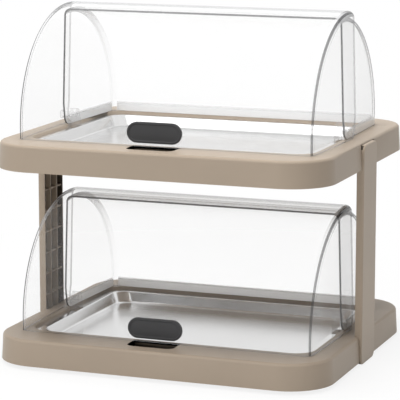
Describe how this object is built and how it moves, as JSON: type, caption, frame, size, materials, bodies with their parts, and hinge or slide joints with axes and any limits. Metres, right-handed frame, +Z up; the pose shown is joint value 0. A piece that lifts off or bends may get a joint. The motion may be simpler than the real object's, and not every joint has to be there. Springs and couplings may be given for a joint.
{
  "type": "refrigerated buffet display",
  "caption": "Two-tier cold buffet display: rimmed bases on side posts, steel trays over cooling packs, and clear roll-top covers that turn open front and rear.",
  "frame": {"origin": "on the table under the middle of the base", "axes": "+X to the right seen from the front, +Y to the rear, +Z up; the handles face -Y"},
  "size_m": [0.4448, 0.388, 0.4447],
  "materials": {
    "taupe_shell": "fine satin moulded plastic",
    "taupe_pan": "moulded plastic",
    "taupe_post": "fine satin moulded plastic",
    "stainless_steel": "satin stainless steel",
    "screw_steel": "zinc plated",
    "clear_cover_front": "clear polished plastic",
    "clear_cover_rear": "clear polished plastic",
    "clear_bracket": "clear moulded plastic",
    "handle_dark": "satin dark plastic",
    "cooling_pack": "blow-moulded plastic",
    "rubber_foot": "matt rubber"
  },
  "bodies": {
    "base": {"lower_base_shell": "taupe_shell", "lower_base_pan": "taupe_pan", "lower_pan_screws": "screw_steel", "lower_steel_tray": "stainless_steel", "lower_cooling_pack_left": "cooling_pack", "lower_cooling_pack_right": "cooling_pack", "lower_pivot_bracket_left": "clear_bracket", "lower_pivot_bracket_right": "clear_bracket", "lower_pivot_pin_left": "clear_bracket", "lower_pivot_pin_right": "clear_bracket", "upper_base_shell": "taupe_shell", "upper_base_pan": "taupe_pan", "upper_pan_screws": "screw_steel", "upper_steel_tray": "stainless_steel", "upper_cooling_pack_left": "cooling_pack", "upper_cooling_pack_right": "cooling_pack", "upper_pivot_bracket_left": "clear_bracket", "upper_pivot_bracket_right": "clear_bracket", "upper_pivot_pin_left": "clear_bracket", "upper_pivot_pin_right": "clear_bracket", "left_post": "taupe_post", "left_post_screws": "screw_steel", "front_left_foot": "rubber_foot", "rear_left_foot": "rubber_foot", "right_post": "taupe_post", "right_post_screws": "screw_steel", "front_right_foot": "rubber_foot", "rear_right_foot": "rubber_foot"},
    "lower_front": {"lower_front_cover": "clear_cover_front", "lower_handle_plate": "handle_dark", "lower_handle_backing": "handle_dark", "lower_handle_screws": "screw_steel"},
    "lower_rear": {"lower_rear_cover": "clear_cover_rear"},
    "upper_front": {"upper_front_cover": "clear_cover_front", "upper_handle_plate": "handle_dark", "upper_handle_backing": "handle_dark", "upper_handle_screws": "screw_steel"},
    "upper_rear": {"upper_rear_cover": "clear_cover_rear"}
  },
  "joints": [
    {"name": "lower_front_cover_hinge", "type": "hinge", "parent": "base", "child": "lower_front", "pos_m": [0, 0, 0.0507], "axis": [-1, 0, 0], "range_deg": [0, 78]},
    {"name": "lower_rear_cover_hinge", "type": "hinge", "parent": "base", "child": "lower_rear", "pos_m": [0, 0, 0.0507], "axis": [1, 0, 0], "range_deg": [0, 78]},
    {"name": "upper_front_cover_hinge", "type": "hinge", "parent": "base", "child": "upper_front", "pos_m": [0, 0, 0.2967], "axis": [-1, 0, 0], "range_deg": [0, 78]},
    {"name": "upper_rear_cover_hinge", "type": "hinge", "parent": "base", "child": "upper_rear", "pos_m": [0, 0, 0.2967], "axis": [1, 0, 0], "range_deg": [0, 78]}
  ]
}
